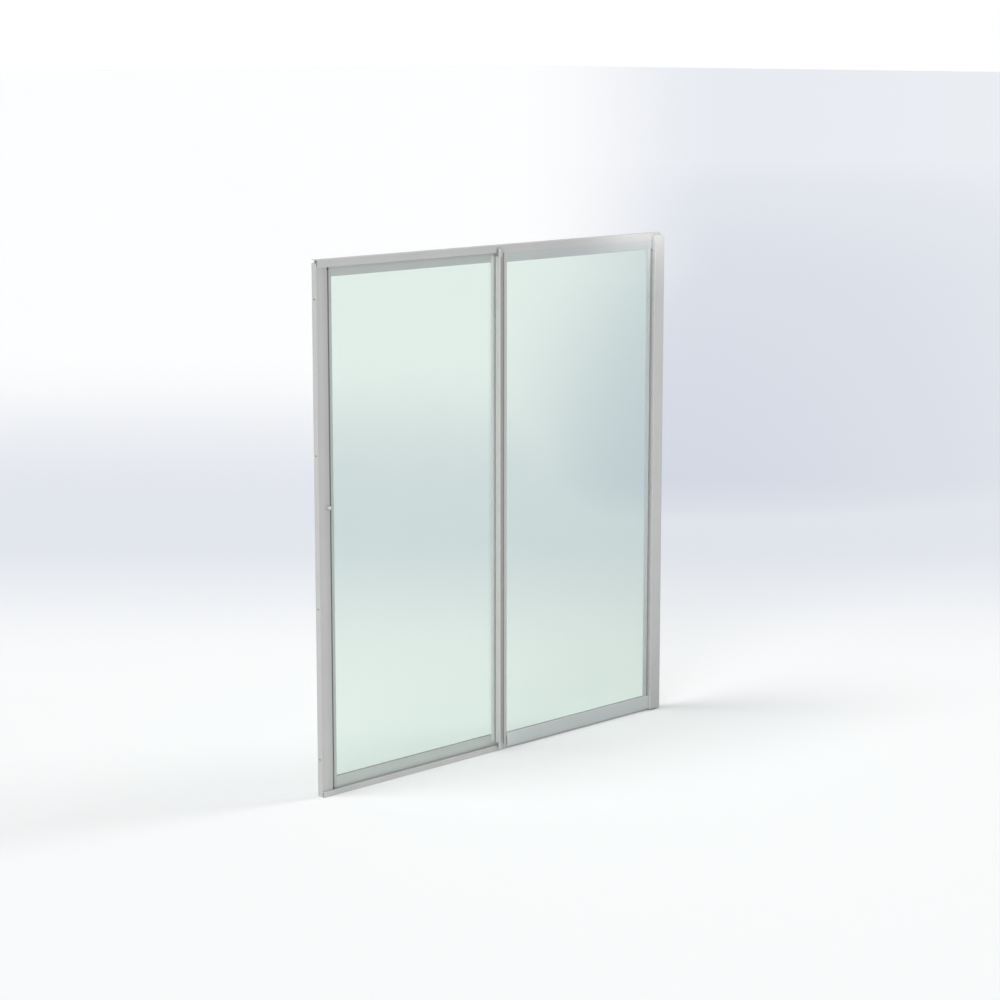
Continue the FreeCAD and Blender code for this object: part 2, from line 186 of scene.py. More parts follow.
def painted_reflection_dimness(tree, direction):
    """Painted reflection: how much darker floor and sky look in a direction from the door, only to rays
    that metal mirrors.
    """
    level = add_node(tree, "VectorMath", {0: direction, 1: (1, 1, 0)}, operation="MULTIPLY")
    unit = add_node(tree, "VectorMath", {0: level.outputs[0]}, operation="NORMALIZE")
    aim = (math.cos(dim_heading), math.sin(dim_heading), 0)
    match = add_node(tree, "VectorMath", {0: unit.outputs[0], 1: aim}, operation="DOT_PRODUCT")
    share = remap(tree, match.outputs["Value"], math.cos(dim_fade), math.cos(dim_core),
                  0.0, dim_strength, smooth=True)
    ray = add_node(tree, "LightPath").outputs
    mirrored = combine(tree, "SUBTRACT", ray["Is Glossy Ray"], ray["Is Transmission Ray"])
    return combine(tree, "MULTIPLY", share, combine(tree, "MAXIMUM", mirrored, 0.0))


reflected_dim_grey = (0.10, 0.105, 0.115, 1)
print("dim end:", round(math.degrees(2 * dim_core)), "degrees wide")

# %% Floor
band_near, band_full, band_core, band_far = 11.7, 15.1, 15.8, 23.5
band_strength = 0.66
wedge_near, wedge_full, wedge_far = 12.9, 17.2, 60.0
wedge_left, wedge_middle, wedge_right = 0.005, 0.087, 0.45
lean_near, lean_far, wedge_lean = 17.0, 32.0, 0.032
right_share, far_share = 0.3, 0.55
blue_grey = (0.663, 0.695, 0.770, 1)
near_white = (0.945, 0.95, 0.95, 1)
far_white = (0.985, 0.985, 0.985, 1)

floor_paint = bpy.data.materials.new("studio_floor")
floor_paint.use_nodes = True
tree = floor_paint.node_tree
tree.nodes.clear()
place = object_place(tree)
from_eye = add_node(tree, "VectorMath", {0: place, 1: (-eye.x, -eye.y, 0)}, operation="ADD")
turned = add_node(tree, "VectorRotate", {"Vector": from_eye.outputs["Vector"], "Angle": heading},
                  rotation_type="Z_AXIS")
axes = add_node(tree, "SeparateXYZ", {"Vector": turned.outputs["Vector"]})
across, away = axes.outputs["X"], axes.outputs["Y"]
band = combine(tree, "MULTIPLY", remap(tree, away, band_near, band_full, smooth=True),
               remap(tree, away, band_core, band_far, 1.0, 0.0, smooth=True))
slope = combine(tree, "DIVIDE", across, combine(tree, "MAXIMUM", away, 1.0))
slope = combine(tree, "ADD", slope, remap(tree, away, lean_near, lean_far, wedge_lean, 0.0))
spread = combine(tree, "MULTIPLY", remap(tree, slope, wedge_left, wedge_middle, smooth=True),
                 remap(tree, slope, wedge_middle, wedge_right, 1.0, right_share, smooth=True))
reach = combine(tree, "MULTIPLY", remap(tree, away, wedge_near, wedge_full, smooth=True),
                remap(tree, away, wedge_full, wedge_far, 1.0, far_share))
wedge = combine(tree, "MULTIPLY", spread, reach)
blueness = combine(tree, "MAXIMUM", combine(tree, "MULTIPLY", band, band_strength), wedge)
white = blend_colours(tree, remap(tree, away, band_near, band_far), near_white, far_white)
tone = blend_colours(tree, blueness, white, blue_grey)
# Painted reflection: the floor seen in metal turns darker toward the right end.
tone = blend_colours(tree, painted_reflection_dimness(tree, place), tone, reflected_dim_grey)
matt = add_node(tree, "BsdfDiffuse", {"Color": tone})
add_node(tree, "OutputMaterial", {"Surface": matt.outputs["BSDF"]})

floor_size = 300.0
floor_drop = 0.0002
bpy.ops.object.select_all(action="DESELECT")
bpy.ops.mesh.primitive_plane_add(size=floor_size, location=(0, 0, -floor_drop))
floor = bpy.context.object
floor.name = "studio_floor"
floor.data.materials.append(floor_paint)
print("floor:", floor_size, "m wide")

# %% [markdown]
# ## Sky and suns
#
# A pale sky fills every shadow, and three white suns with a wide disc model the bars. The one in
# front on the left lights the faces and makes the left-facing sides the brightest. The high one
# behind throws the soft shadow that runs off from the right foot, and a weak one on the right
# throws the shadow behind the left foot. Suns and sky together give about one on a white floor, so
# a colour renders about as it is written. A small strip lamp near the top right corner gives the
# soft highlight that the photograph has there.

# %% Sky and suns
sky_light = (0.97, 0.985, 1.0, 1)
sky_seen = (1.0, 1.0, 1.0, 1)
sky_strength = 0.46

world = bpy.data.worlds.new("studio")
world.use_nodes = True
bpy.context.scene.world = world
tree = world.node_tree
tree.nodes.clear()
ray = add_node(tree, "LightPath")
seen = combine(tree, "MAXIMUM", ray.outputs["Is Camera Ray"], ray.outputs["Is Glossy Ray"])
seen = combine(tree, "MAXIMUM", seen, ray.outputs["Is Transmission Ray"])
lit = add_node(tree, "Background", {"Color": sky_light, "Strength": sky_strength})
toward = add_node(tree, "TexCoord").outputs["Generated"]
# Painted reflection: the sky seen in metal turns darker toward the right end.
shown_sky = blend_colours(tree, painted_reflection_dimness(tree, toward), sky_seen, reflected_dim_grey)
shown = add_node(tree, "Background", {"Color": shown_sky, "Strength": 1.0})
mixed = add_node(tree, "MixShader", {0: seen, 1: lit.outputs[0], 2: shown.outputs[0]})
add_node(tree, "OutputWorld", {"Surface": mixed.outputs[0]})


def add_sun(name, toward, strength, disc):
    """A white sun that shines from the given direction, with a disc of that many degrees."""
    sun_data = bpy.data.lights.new(name, "SUN")
    sun_data.energy = strength
    sun_data.angle = math.radians(disc)
    sun = bpy.data.objects.new(name, sun_data)
    sun.rotation_euler = Vector(toward).to_track_quat("Z", "Y").to_euler()
    bpy.context.scene.collection.objects.link(sun)
    return sun


suns = (add_sun("front_sun", (-0.84, -0.45, 0.30), 1.20, 30),
        add_sun("back_sun", (-0.43, 0.21, 0.88), 1.12, 24),
        add_sun("right_sun", (0.78, -0.25, 0.57), 0.68, 18))
lamp_width, lamp_height, lamp_spread, lamp_power = 0.45, 0.12, 75, 0.52
lamp_place, lamp_back = (0.88, -0.42, 2.26), (0.0, -1.0, 0.2)
corner_lamp = bpy.data.lights.new("corner_lamp", "AREA")
corner_lamp.shape = "RECTANGLE"
corner_lamp.size, corner_lamp.size_y = lamp_width, lamp_height
corner_lamp.spread = math.radians(lamp_spread)
corner_lamp.energy = lamp_power
lamp = bpy.data.objects.new("corner_lamp", corner_lamp)
lamp.location = lamp_place
lamp.rotation_euler = Vector(lamp_back).to_track_quat("Z", "Y").to_euler()
bpy.context.scene.collection.objects.link(lamp)
print("lights:", [sun.name for sun in suns], lamp.name)

# %% [markdown]
# ## Shared effects
#
# Four effects appear in more than one finish, so each is a node group, built once. The press that
# extrudes a bar leaves fine lines along its whole length. Anodising takes a little unevenly over a
# hand's width. Corners are rubbed brighter by years of hands and cloths. Dust settles on ledges
# that face up. Every group reads the place on the object, so its pattern stays put on the metal.


# %% Group helper
def new_group(name, inputs, outputs):
    """A shader node group with named inputs and outputs. Inputs are name, kind and first value."""
    group = bpy.data.node_groups.new(name, "ShaderNodeTree")
    for label, kind, value in inputs:
        socket = group.interface.new_socket(label, in_out="INPUT", socket_type="NodeSocket" + kind)
        socket.default_value = value
    for label, kind in outputs:
        group.interface.new_socket(label, in_out="OUTPUT", socket_type="NodeSocket" + kind)
    entry = group.nodes.new("NodeGroupInput")
    leave = group.nodes.new("NodeGroupOutput")
    return group, entry.outputs, leave.inputs


def use_group(tree, group, inputs=None):
    """Places a shared group in a material, with that material's own values."""
    node = tree.nodes.new("ShaderNodeGroup")
    node.node_tree = group
    for name, value in (inputs or {}).items():
        feed(tree, node.inputs[name], value)
    return node.outputs


print("group helper ready")

# %% Extrusion lines
press_lines, given, out = new_group(
    "press_lines",
    [("Stretch", "Vector", (8, 700, 700)), ("Fineness", "Float", 1.0)],
    [("Lines", "Float"), ("Broad Lines", "Float")])
place = object_place(press_lines)
drawn = add_node(press_lines, "VectorMath", {0: place, 1: given["Stretch"]}, operation="MULTIPLY")
fine = add_node(press_lines, "TexNoise", {"Vector": drawn.outputs[0], "Scale": given["Fineness"],
                                          "Detail": 3.0, "Roughness": 0.65})
broad = add_node(press_lines, "VectorMath", {0: drawn.outputs[0], "Scale": 0.16}, operation="SCALE")
wide = add_node(press_lines, "TexNoise", {"Vector": broad.outputs[0], "Scale": given["Fineness"],
                                          "Detail": 1.0})
press_lines.links.new(remap(press_lines, fine.outputs["Fac"], 0.3, 0.7), out["Lines"])
press_lines.links.new(remap(press_lines, wide.outputs["Fac"], 0.3, 0.7), out["Broad Lines"])
print("group:", press_lines.name)

# %% Uneven anodising
uneven, given, out = new_group(
    "uneven_finish",
    [("Patch Size", "Float", 0.12), ("Speck Size", "Float", 0.004)],
    [("Patches", "Float"), ("Specks", "Float")])
place = object_place(uneven)
patch = add_node(uneven, "TexNoise", {
    "Vector": place, "Scale": combine(uneven, "DIVIDE", 1.0, given["Patch Size"]),
    "Detail": 3.0, "Roughness": 0.55})
speck = add_node(uneven, "TexNoise", {
    "Vector": place, "Scale": combine(uneven, "DIVIDE", 1.0, given["Speck Size"]),
    "Detail": 2.0, "Roughness": 0.5})
uneven.links.new(remap(uneven, patch.outputs["Fac"], 0.32, 0.68), out["Patches"])
uneven.links.new(remap(uneven, speck.outputs["Fac"], 0.35, 0.65), out["Specks"])
print("group:", uneven.name)

# %% Rubbed corners
rubbed, given, out = new_group(
    "rubbed_corners",
    [("Reach", "Float", 0.0012), ("Patchiness", "Float", 0.4)],
    [("Rubbed", "Float")])
rounded = add_node(rubbed, "Bevel", {"Radius": given["Reach"]}, samples=4)
flat = add_node(rubbed, "NewGeometry").outputs["Normal"]
alike = add_node(rubbed, "VectorMath", {0: rounded.outputs["Normal"], 1: flat},
                 operation="DOT_PRODUCT").outputs["Value"]
corner = remap(rubbed, alike, 0.995, 0.90, 0.0, 1.0)
place = object_place(rubbed)
worn = add_node(rubbed, "TexNoise", {"Vector": place, "Scale": 35.0, "Detail": 4.0}).outputs["Fac"]
worn = remap(rubbed, worn, 0.4, 0.62)
kept = combine(rubbed, "SUBTRACT", 1.0, combine(rubbed, "MULTIPLY", worn, given["Patchiness"]))
rubbed.links.new(combine(rubbed, "MULTIPLY", corner, kept), out["Rubbed"])
print("group:", rubbed.name)

# %% Settled dust
dust, given, out = new_group(
    "settled_dust",
    [("Amount", "Float", 0.5), ("Grain Size", "Float", 0.003)],
    [("Dust", "Float")])
facing = add_node(dust, "SeparateXYZ", {"Vector": add_node(dust, "NewGeometry").outputs["Normal"]})
ledge = remap(dust, facing.outputs["Z"], 0.55, 0.95, smooth=True)
place = object_place(dust)
drift = add_node(dust, "TexNoise", {"Vector": place, "Scale": 9.0, "Detail": 4.0}).outputs["Fac"]
grain = add_node(dust, "TexNoise", {
    "Vector": place, "Scale": combine(dust, "DIVIDE", 1.0, given["Grain Size"]),
    "Detail": 1.0}).outputs["Fac"]
cover = combine(dust, "MULTIPLY", remap(dust, drift, 0.35, 0.7), remap(dust, grain, 0.3, 0.7, 0.5, 1.0))
dust.links.new(combine(dust, "MULTIPLY", combine(dust, "MULTIPLY", ledge, cover), given["Amount"]),
               out["Dust"])
print("group:", dust.name)

# %% [markdown]
# ## Satin anodised aluminium
#
# The bars are etched and clear anodised: pale grey, metallic, with a soft wide highlight. The
# metal stays in one Principled shader. Its colour moves a few hundredths with the anodising and
# the press lines, its roughness moves with them, rubbed corners are brighter and smoother, and
# dust on ledges is paler and less metallic. The lines run along each bar, so a level bar and an
# upright one need their own stretch.

# %% Aluminium
along_level = (7, 900, 900)
along_upright = (900, 900, 7)
dust_colour = (0.72, 0.71, 0.69, 1)
patch_tone, patch_share = 0.93, 0.6
line_tone, line_share = 0.90, 0.35
rubbed_tone, rubbed_share = 1.28, 0.55


def darker(colour, share):
    """The same colour at a share of its strength."""
    return tuple(channel * share for channel in colour[:3]) + (1,)


def anodised(name, colour, roughness, stretch, painted_shade=None):
    """Satin anodised aluminium with press lines along the bar, and painted shade of its own where given.
    """
    material, tree, shader = new_material(name)
    shader.inputs["IOR"].default_value = 1.45
    lines = use_group(tree, press_lines, {"Stretch": stretch})
    finish = use_group(tree, uneven, {"Patch Size": 0.14, "Speck Size": 0.0025})
    corner = use_group(tree, rubbed, {"Reach": 0.0014})["Rubbed"]
    ledge = use_group(tree, dust, {"Amount": 0.45})["Dust"]
    metal = blend_colours(tree, remap(tree, finish["Patches"], 0.0, 1.0, 0.0, patch_share),
                          colour, darker(colour, patch_tone))
    metal = blend_colours(tree, remap(tree, lines["Broad Lines"], 0.0, 1.0, 0.0, line_share),
                          metal, darker(colour, line_tone))
    metal = blend_colours(tree, remap(tree, corner, 0.0, 1.0, 0.0, rubbed_share),
                          metal, darker(colour, rubbed_tone))
    if painted_shade:
        metal = painted_shade(tree, metal, colour)
    metal = blend_colours(tree, ledge, metal, dust_colour)
    tree.links.new(metal, shader.inputs["Base Color"])
    rough = remap(tree, lines["Lines"], 0.0, 1.0, roughness - 0.04, roughness + 0.05)
    rough = combine(tree, "ADD", rough, remap(tree, finish["Patches"], 0.0, 1.0, -0.03, 0.04))
    rough = combine(tree, "SUBTRACT", rough, combine(tree, "MULTIPLY", corner, 0.10))
    rough = combine(tree, "ADD", rough, combine(tree, "MULTIPLY", ledge, 0.4))
    tree.links.new(rough, shader.inputs["Roughness"])
    tree.links.new(remap(tree, ledge, 0.0, 0.6, 0.55, 0.20), shader.inputs["Metallic"])
    height = combine(tree, "ADD", lines["Lines"], combine(tree, "MULTIPLY", finish["Specks"], 0.5))
    relief = add_node(tree, "Bump", {"Height": height, "Strength": 0.25, "Distance": 0.00002})
    tree.links.new(relief.outputs["Normal"], shader.inputs["Normal"])
    return material


metal_looks = {
    "frame_aluminium": ((0.575, 0.575, 0.565, 1), 0.42),
    "fixed_light_aluminium": ((0.565, 0.60, 0.595, 1), 0.40),
    "post_aluminium": ((0.66, 0.655, 0.635, 1), 0.42),
    "panel_aluminium": ((0.51, 0.55, 0.53, 1), 0.40),
}
print("aluminium colours:", len(metal_looks))

# %% [markdown]
# ## Tone and painted light of each bar, and painted shade on the post and jamb
#
# Several bars are painted paler or darker than their neighbours, as painted light and shade: the
# meeting stile is brightened where it stands in the post's shade, and the right jamb cover and the
# fixed bottom rail where little light reaches them. Others are set a few hundredths paler or
# darker. Painted shade darkens the post's front, most of all its long slope, which faces away from
# the light. It is darkest in the groove beside the slope, and it also darkens the left jamb's face toward
# the opening.

# %% Tone and painted light of each bar, and painted shade on the post and jamb
# Brightness of each bar, partly painted light and shade.
bar_tone_and_painted_light = {"right_jamb_cover": 1.11, "sliding_meeting_stile": 1.42, "fixed_right_stile": 1.06,
             "fixed_bottom_rail": 1.25, "fixed_top_rail": 0.94, "left_jamb": 0.96,
             "sliding_lock_stile": 0.92, "sliding_bottom_rail": 1.06}
# Painted shade on the post's slope and groove, and on the left jamb beside the opening.
slope_left, slope_right = -0.0172, 0.0176
groove_reach = 0.0075
slope_shade_share, land_shade_share, groove_shade_share = 0.83, 0.36, 0.68
jamb_edge, jamb_reach, jamb_shade_share = -0.920, 0.030, 0.40
painted_shade_tone, groove_shade_tone = 0.64, 0.35
shade_fade, land_fade = 0.0008, 0.002
groove_shade_fade_start, groove_shade_fade_end = 0.0015, 0.005
metals = {}


def painted_post_shade(tree, metal, colour):
    """Painted shade: darker over the post's front, most on its slope, and darkest in the groove beside
    it.
    """
    place = object_place(tree)
    across = add_node(tree, "SeparateXYZ", {"Vector": place}).outputs["X"]
    film_and_shade = combine(tree, "MULTIPLY", remap(tree, across, slope_left - shade_fade, slope_left + shade_fade),
                   remap(tree, across, slope_right, slope_right + land_fade, slope_shade_share, land_shade_share))
    metal = blend_colours(tree, film_and_shade, metal, darker(colour, painted_shade_tone))
    groove_shade = combine(tree, "MULTIPLY", remap(tree, across, slope_right - groove_reach, slope_right),
                   remap(tree, across, slope_right + groove_shade_fade_start,
                         slope_right + groove_shade_fade_end, groove_shade_share, 0.0))
    return blend_colours(tree, groove_shade, metal, darker(colour, groove_shade_tone))


def painted_jamb_shade(tree, metal, colour):
    """Painted shade on the jamb's face, growing toward the edge where the panel closes."""
    place = object_place(tree)
    across = add_node(tree, "SeparateXYZ", {"Vector": place}).outputs["X"]
    film_and_shade = remap(tree, across, jamb_edge - jamb_reach, jamb_edge, 0.0, jamb_shade_share)
    return blend_colours(tree, film_and_shade, metal, darker(colour, painted_shade_tone))


painted_shade_of = {"meeting_post": painted_post_shade, "left_jamb": painted_jamb_shade}


def metal_of(node, along):
    """The finish of a bar, made once for each slot, direction, tone with its painted light, and painted
    shade.
    """
    slot, tone = slot_of[node], bar_tone_and_painted_light.get(node, 1.0)
    painted_shade = painted_shade_of.get(node)
    key = slot, along, tone, painted_shade
    if key not in metals:
        colour, roughness = metal_looks[slot]
        name = slot + ("_level" if along == "x" else "_upright")
        name += ("_" + node if tone != 1.0 or painted_shade else "")
        stretch = along_level if along == "x" else along_upright
        metals[key] = anodised(name, darker(colour, tone), roughness, stretch, painted_shade)
    return metals[key]


print("bars with a tone of their own:", len(bar_tone_and_painted_light))

# %% [markdown]
# ## Glass
#
# Float glass is faintly green, and its tint takes away about a fifth of the light that is seen
# through it. Light that passes to the floor would need caustics, which are slow to find, so shadow
# rays go through a tinted transparent surface instead. Half of what the surface mirrors is taken
# off, which gives the panes the faint shadow that the photograph shows. The surface has the very
# slight wave of float glass, and a film of handling that changes its gloss by a trace.

# %% Clear glass
glass_tint = (0.765, 0.862, 0.808, 1)
glass_shadow = (0.87, 0.915, 0.89, 1)
glass_ior = 1.52
mirrored_share = 0.5
clear_glass, tree, shader = new_material("clear_glass")
shader.inputs["Transmission Weight"].default_value = 1.0
shader.inputs["IOR"].default_value = glass_ior
film_and_shade = use_group(tree, uneven, {"Patch Size": 0.5, "Speck Size": 0.01})
tint = blend_colours(tree, remap(tree, film_and_shade["Patches"], 0.0, 1.0, 0.0, 0.25),
                     glass_tint, darker(glass_tint, 0.99))
tree.links.new(tint, shader.inputs["Base Color"])
tree.links.new(remap(tree, film_and_shade["Patches"], 0.2, 1.0, 0.0, 0.012), shader.inputs["Roughness"])
wave = add_node(tree, "Bump", {"Height": film_and_shade["Patches"], "Strength": 0.05, "Distance": 0.0002})
tree.links.new(wave.outputs["Normal"], shader.inputs["Normal"])
shadow_ray = add_node(tree, "LightPath").outputs["Is Shadow Ray"]
fresnel = add_node(tree, "Fresnel", {"IOR": glass_ior}).outputs[0]
mirrored = combine(tree, "MULTIPLY", fresnel, mirrored_share)
let_through = blend_colours(tree, mirrored, glass_shadow, (0, 0, 0, 1))
through = add_node(tree, "BsdfTransparent", {"Color": let_through})
either = add_node(tree, "MixShader", {0: shadow_ray, 1: shader.outputs[0], 2: through.outputs[0]})
tree.links.new(either.outputs[0], tree.nodes["Material Output"].inputs["Surface"])
print("glass:", clear_glass.name)

# %% [markdown]
# ## Rubber, pile, plastic and steel
#
# The small materials share one recipe: a base colour that drifts to a second one in patches, a
# roughness that drifts with it, and a fine relief. Rubber is dull with a bloom, the pile is soft
# and takes a sheen, moulded plastic has the spark texture of its mould, and the steel of axles and
# housings is the smoothest. The knob has a finish of its own, with the fine rings that turning
# leaves round its axis.


# %% Recipe for the small materials
def plain_finish(name, colour, second, roughness, patch, speck, relief, metallic=0.0, sheen=0.0):
    """A finish that drifts between two colours and has a fine relief."""
    material, tree, shader = new_material(name)
    shader.inputs["Metallic"].default_value = metallic
    shader.inputs["Sheen Weight"].default_value = sheen
    finish = use_group(tree, uneven, {"Patch Size": patch, "Speck Size": speck})
    corner = use_group(tree, rubbed, {"Reach": 0.0008})["Rubbed"]
    tone = blend_colours(tree, finish["Patches"], colour, second)
    tone = blend_colours(tree, combine(tree, "MULTIPLY", corner, 0.3), tone, darker(colour, 1.2))
    tree.links.new(tone, shader.inputs["Base Color"])
    rough = remap(tree, finish["Patches"], 0.0, 1.0, roughness - 0.05, roughness + 0.05)
    tree.links.new(rough, shader.inputs["Roughness"])
    bump = add_node(tree, "Bump", {"Height": finish["Specks"], "Strength": 0.4, "Distance": relief})
    tree.links.new(bump.outputs["Normal"], shader.inputs["Normal"])
    return material


small = {
    "glazing_rubber": plain_finish("glazing_rubber", (0.36, 0.37, 0.36, 1), (0.40, 0.41, 0.40, 1),
                                   0.62, 0.05, 0.0006, 0.00004),
    "pile_seal": plain_finish("pile_seal", (0.36, 0.37, 0.37, 1), (0.44, 0.44, 0.44, 1),
                              0.85, 0.02, 0.0008, 0.0001, sheen=0.3),
    "stop_rubber": plain_finish("stop_rubber", (0.02, 0.02, 0.02, 1), (0.035, 0.034, 0.033, 1),
                                0.70, 0.01, 0.0008, 0.00005),
    "cap_plastic": plain_finish("cap_plastic", (0.52, 0.53, 0.52, 1), (0.49, 0.50, 0.49, 1),
                                0.50, 0.02, 0.0005, 0.00004),
    "nylon": plain_finish("nylon", (0.78, 0.78, 0.74, 1), (0.70, 0.69, 0.64, 1),
                          0.45, 0.01, 0.0006, 0.00002),
    "roller_steel": plain_finish("roller_steel", (0.55, 0.56, 0.58, 1), (0.48, 0.50, 0.52, 1),
                                 0.38, 0.01, 0.0006, 0.00002, metallic=1.0),
}
print("small finishes:", sorted(small))

# %% Turned metal of the knob
low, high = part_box("lock_knob")
knob_axis = (low + high) / 2
knob_metal, tree, shader = new_material("knob_metal")
shader.inputs["Metallic"].default_value = 1.0
place = object_place(tree)
centred = add_node(tree, "VectorMath", {0: place, 1: knob_axis}, operation="SUBTRACT")
flat = add_node(tree, "VectorMath", {0: centred.outputs[0], 1: (1, 0, 1)}, operation="MULTIPLY")
radius = add_node(tree, "VectorMath", {0: flat.outputs[0]}, operation="LENGTH").outputs["Value"]
ring_pitch = 0.00025
rings = combine(tree, "SINE", combine(tree, "MULTIPLY", radius, 2 * math.pi / ring_pitch), 0.0)
corner = use_group(tree, rubbed, {"Reach": 0.0008})["Rubbed"]
tone = blend_colours(tree, remap(tree, rings, -1.0, 1.0, 0.0, 0.3), (0.66, 0.67, 0.67, 1),
                     (0.55, 0.56, 0.56, 1))
tone = blend_colours(tree, combine(tree, "MULTIPLY", corner, 0.4), tone, (0.85, 0.85, 0.85, 1))
tree.links.new(tone, shader.inputs["Base Color"])
tree.links.new(remap(tree, rings, -1.0, 1.0, 0.24, 0.36), shader.inputs["Roughness"])
bump = add_node(tree, "Bump", {"Height": rings, "Strength": 0.3, "Distance": 0.00001})
tree.links.new(bump.outputs["Normal"], shader.inputs["Normal"])
small["knob_metal"] = knob_metal
print("knob rings:", ring_pitch * 1000, "mm apart")

# %% [markdown]
# ## Rounded edges on the bars
#
# No extruded bar has a knife edge: the press rounds every corner that runs along it to about half
# a millimetre, and a saw leaves the ends sharp. That small radius catches the light and draws the
# fine seams between bars, so it is modelled. A copy of each bar is merged, its flat triangles are
# dissolved into whole faces, and only the sharp edges that run along the bar are bevelled. The
# weighted normals then keep the wide faces flat.


# %% Round the edges of a copy
merge_distance = 0.000005
flat_angle, sharp_angle, smooth_angle = math.radians(0.4), math.radians(35), math.radians(34)
nearly_along = 0.999
edge_steps = 3


def only(piece):
    """Makes one piece the selected and active one."""
    bpy.ops.object.select_all(action="DESELECT")
    piece.select_set(True)
    bpy.context.view_layer.objects.active = piece


def merged_copy(node, name):
    """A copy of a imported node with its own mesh, merged and with flat areas as single faces."""
    piece = bpy.data.objects.new(name, frame["nodes"][node].data.copy())
    bpy.context.scene.collection.objects.link(piece)
    only(piece)
    bpy.ops.object.mode_set(mode="EDIT")
    bpy.ops.mesh.select_all(action="SELECT")
    bpy.ops.mesh.remove_doubles(threshold=merge_distance)
    bpy.ops.mesh.customdata_custom_splitnormals_clear()
    bpy.ops.mesh.dissolve_limited(angle_limit=flat_angle)
    bpy.ops.object.mode_set(mode="OBJECT")
    return piece


def select_sharp_edges(piece, along):
    """Selects the edges that bend sharply and run along an axis, or all sharp ones with no axis."""
    bpy.context.tool_settings.mesh_select_mode = (False, True, False)
    only(piece)
    bpy.ops.object.mode_set(mode="EDIT")
    bpy.ops.mesh.select_all(action="DESELECT")
    bpy.ops.mesh.edges_select_sharp(sharpness=sharp_angle)
    bpy.ops.object.mode_set(mode="OBJECT")
    if along:
        axis = "xyz".index(along)
        points = piece.data.vertices
        for edge in piece.data.edges:
            step = points[edge.vertices[0]].co - points[edge.vertices[1]].co
            if abs(step[axis]) < nearly_along * step.length:
                edge.select = False
        for point in points:
            point.select = False
        for edge in piece.data.edges:
            if edge.select:
                points[edge.vertices[0]].select = True
                points[edge.vertices[1]].select = True
    return sum(edge.select for edge in piece.data.edges)


def rolled(node, along, radius):
    """Stands in for a node with a copy whose sharp edges are rounded to a small radius."""
    piece = merged_copy(node, node + "_finished")
    count = select_sharp_edges(piece, along)
    bpy.ops.object.mode_set(mode="EDIT")
    bpy.ops.mesh.bevel(offset=radius, offset_type="OFFSET", segments=edge_steps, profile=0.5,
                       affect="EDGES", clamp_overlap=True)
    bpy.ops.object.mode_set(mode="OBJECT")
    bpy.ops.object.shade_smooth_by_angle(angle=smooth_angle)
    weighted = piece.modifiers.new("flat_faces", "WEIGHTED_NORMAL")
    weighted.keep_sharp = True
    bpy.ops.object.modifier_apply(modifier=weighted.name)
    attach(piece, frame["nodes"][node]["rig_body"])
    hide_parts(node)
    return piece, count


def paint(piece, material):
    """Gives a piece one material in place of what it has."""
    piece.data.materials.clear()
    piece.data.materials.append(material)


edge_radius = 0.0005
bars = {
    "x": ("header", "sill", "fixed_top_rail", "fixed_bottom_rail", "sliding_top_rail",
          "sliding_bottom_rail"),
    "z": ("left_jamb", "right_jamb", "right_jamb_cover", "meeting_post", "fixed_right_stile",
          "sliding_lock_stile", "sliding_meeting_stile"),
}
for along, nodes in bars.items():
    for node in nodes:
        piece, count = rolled(node, along, edge_radius)
        paint(piece, metal_of(node, along))
        print(node, "edges rounded:", count, "faces:", len(piece.data.polygons))

# %% [markdown]
# ## Rounded edges on the small pieces
#
# Caps, guide shoes, wheels and the stop are moulded, the axles and the knob are turned, and the
# housings are folded from sheet. None of that leaves a sharp corner, so these pieces are rounded all
# over. The same function serves, with no axis given.

# %% Caps, shoes, knob, stop, wheels and housings
all_round = {
    "post_top_cap": 0.0004, "post_bottom_cap": 0.0004, "lock_knob": 0.00035, "open_stop": 0.0008,
    "left_guide_shoe": 0.0004, "right_guide_shoe": 0.0004,
    "left_roller_wheel": 0.0002, "right_roller_wheel": 0.0002,
    "left_roller_axle": 0.0002, "right_roller_axle": 0.0002,
    "left_roller_housing": 0.0002, "right_roller_housing": 0.0002,
}
for node, radius in all_round.items():
    piece, count = rolled(node, None, radius)
    paint(piece, small[slot_of[node]])
    print(node, "edges rounded:", count, "faces:", len(piece.data.polygons))

# %% [markdown]
# ## Panes and gaskets
#
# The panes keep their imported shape: their ground edges are hidden in the pockets. The gaskets are
# rubber strips with a soft lip that presses on the glass, so the edges of each strip are rounded.

# %% Panes and gaskets
gasket_radius = 0.0006
for node in ("fixed_glass", "sliding_glass"):
    paint(frame["nodes"][node], clear_glass)
for node in ("fixed_glazing_gaskets", "sliding_glazing_gaskets"):
    piece, count = rolled(node, None, gasket_radius)
    paint(piece, small["glazing_rubber"])
    print(node, "edges rounded:", count)

# %% [markdown]
# ## Pile of the weather seals
#
# A weather seal is a stiff woven tape with a brush of short fibres, which the panel strokes as it
# slides. The solids hold its place as plain strips. A brush is thousands of fibres, too many to
# model, so they are gathered into tufts: one tuft is a thin six-sided bar, extruded and splayed at
# the tip, two arrays repeat it along and across the tape, and a little disorder is given to the
# tips. Hair would look softer up close, but only meshes reach the finished model.

# %% Pile tufts
tape_thickness = 0.0012
tuft_radius = 0.00055
tuft_pitch = 0.0019
tip_splay = 1.6
tape_edge = 0.0003
root_share, tip_share, loose_share = 0.4, 0.6, 0.1   # of the pile's height
tip_disorder = 0.00022


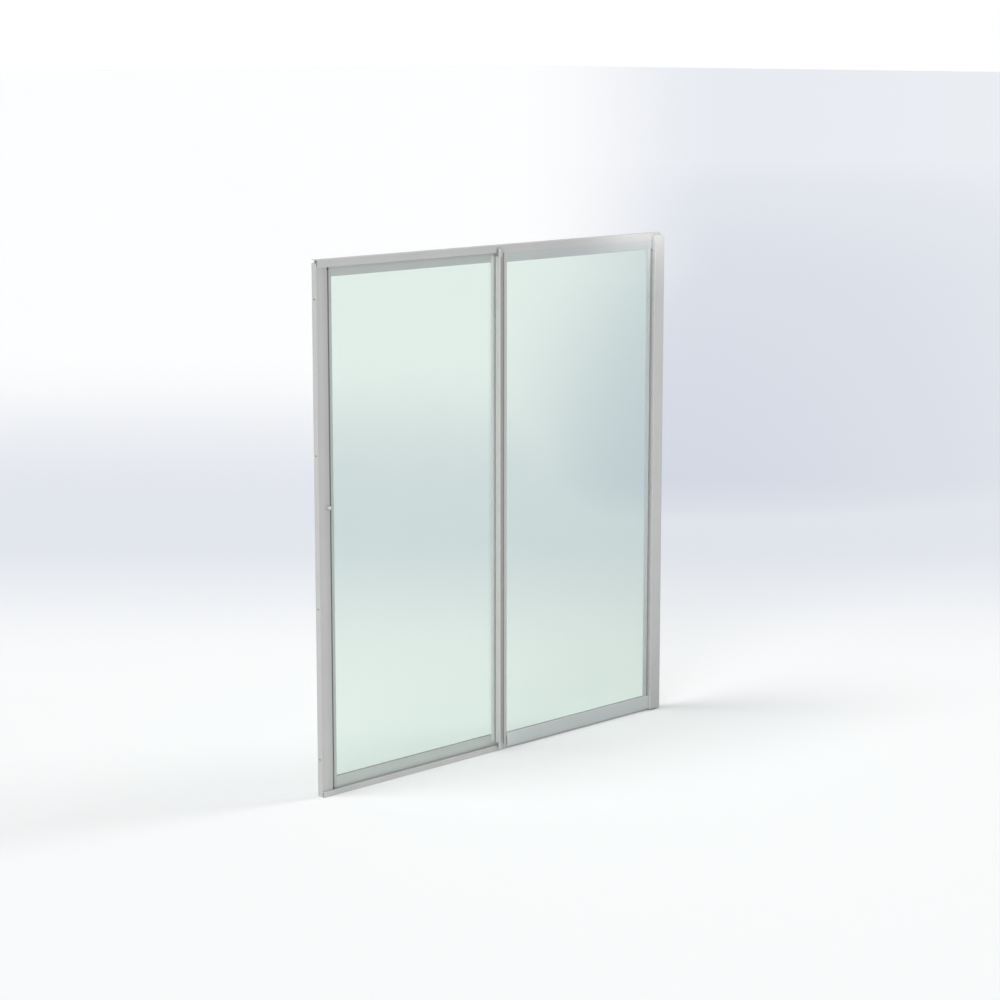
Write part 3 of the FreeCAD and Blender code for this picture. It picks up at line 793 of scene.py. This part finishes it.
def pile_strip(node, along, seed):
    """A tape with two rows of tufts that stand towards the panel, in place of a seal's solid."""
    low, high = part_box(node)
    size = high - low
    middle = (low + high) / 2
    axis = "xyz".index(along)
    across = 2 - axis
    bpy.ops.object.select_all(action="DESELECT")
    bpy.ops.mesh.primitive_cube_add(size=1, location=(middle.x, low.y + tape_thickness / 2, middle.z))
    tape = bpy.context.object
    tape.scale = (size.x, tape_thickness, size.z)
    bpy.ops.object.transform_apply(location=True, rotation=True, scale=True)
    bpy.ops.object.mode_set(mode="EDIT")
    bpy.ops.mesh.bevel(offset=tape_edge, segments=2, affect="EDGES")
    bpy.ops.object.mode_set(mode="OBJECT")

    pile = size.y - tape_thickness
    start = low.copy()
    start[axis] += tuft_pitch
    start[across] += size[across] / 4
    start.y += tape_thickness + root_share / 2 * pile
    bpy.ops.object.select_all(action="DESELECT")
    bpy.ops.mesh.primitive_cylinder_add(vertices=6, radius=tuft_radius, depth=root_share * pile,
                                        location=start, rotation=(math.radians(-90), 0, 0))
    tufts = bpy.context.object
    bpy.ops.object.transform_apply(location=True, rotation=True, scale=True)
    for point in tufts.data.vertices:
        point.select = point.co.y > start.y
    bpy.context.tool_settings.mesh_select_mode = (True, False, False)
    bpy.ops.object.mode_set(mode="EDIT")
    bpy.ops.mesh.extrude_region_move(TRANSFORM_OT_translate={"value": (0, tip_share * pile, 0)})
    bpy.ops.transform.resize(value=(tip_splay, 1, tip_splay), center_override=start)
    bpy.ops.object.mode_set(mode="OBJECT")
    repeats = ((axis, tuft_pitch, int(size[axis] / tuft_pitch) - 1), (across, size[across] / 2, 2))
    for direction, pitch, count in repeats:
        rows = tufts.modifiers.new("rows", "ARRAY")
        rows.count = count
        rows.use_relative_offset = False
        rows.use_constant_offset = True
        offset = [0, 0, 0]
        offset[direction] = pitch
        rows.constant_offset_displace = offset
        bpy.ops.object.modifier_apply(modifier=rows.name)
    for point in tufts.data.vertices:
        point.select = point.co.y > high.y - loose_share * pile
    bpy.ops.object.mode_set(mode="EDIT")
    bpy.ops.transform.vertex_random(offset=tip_disorder, seed=seed)
    bpy.ops.object.mode_set(mode="OBJECT")
    tape.select_set(True)
    bpy.context.view_layer.objects.active = tape
    bpy.ops.object.join()
    tape.name = node + "_pile"
    paint(tape, small["pile_seal"])
    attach(tape, "frame")
    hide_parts(node)
    return tape


for seed, (node, along) in enumerate((("header_weather_seal", "x"), ("sill_weather_seal", "x"),
                                      ("post_weather_seal", "z"))):
    strip = pile_strip(node, along, seed)
    print(strip.name, "faces:", len(strip.data.polygons))
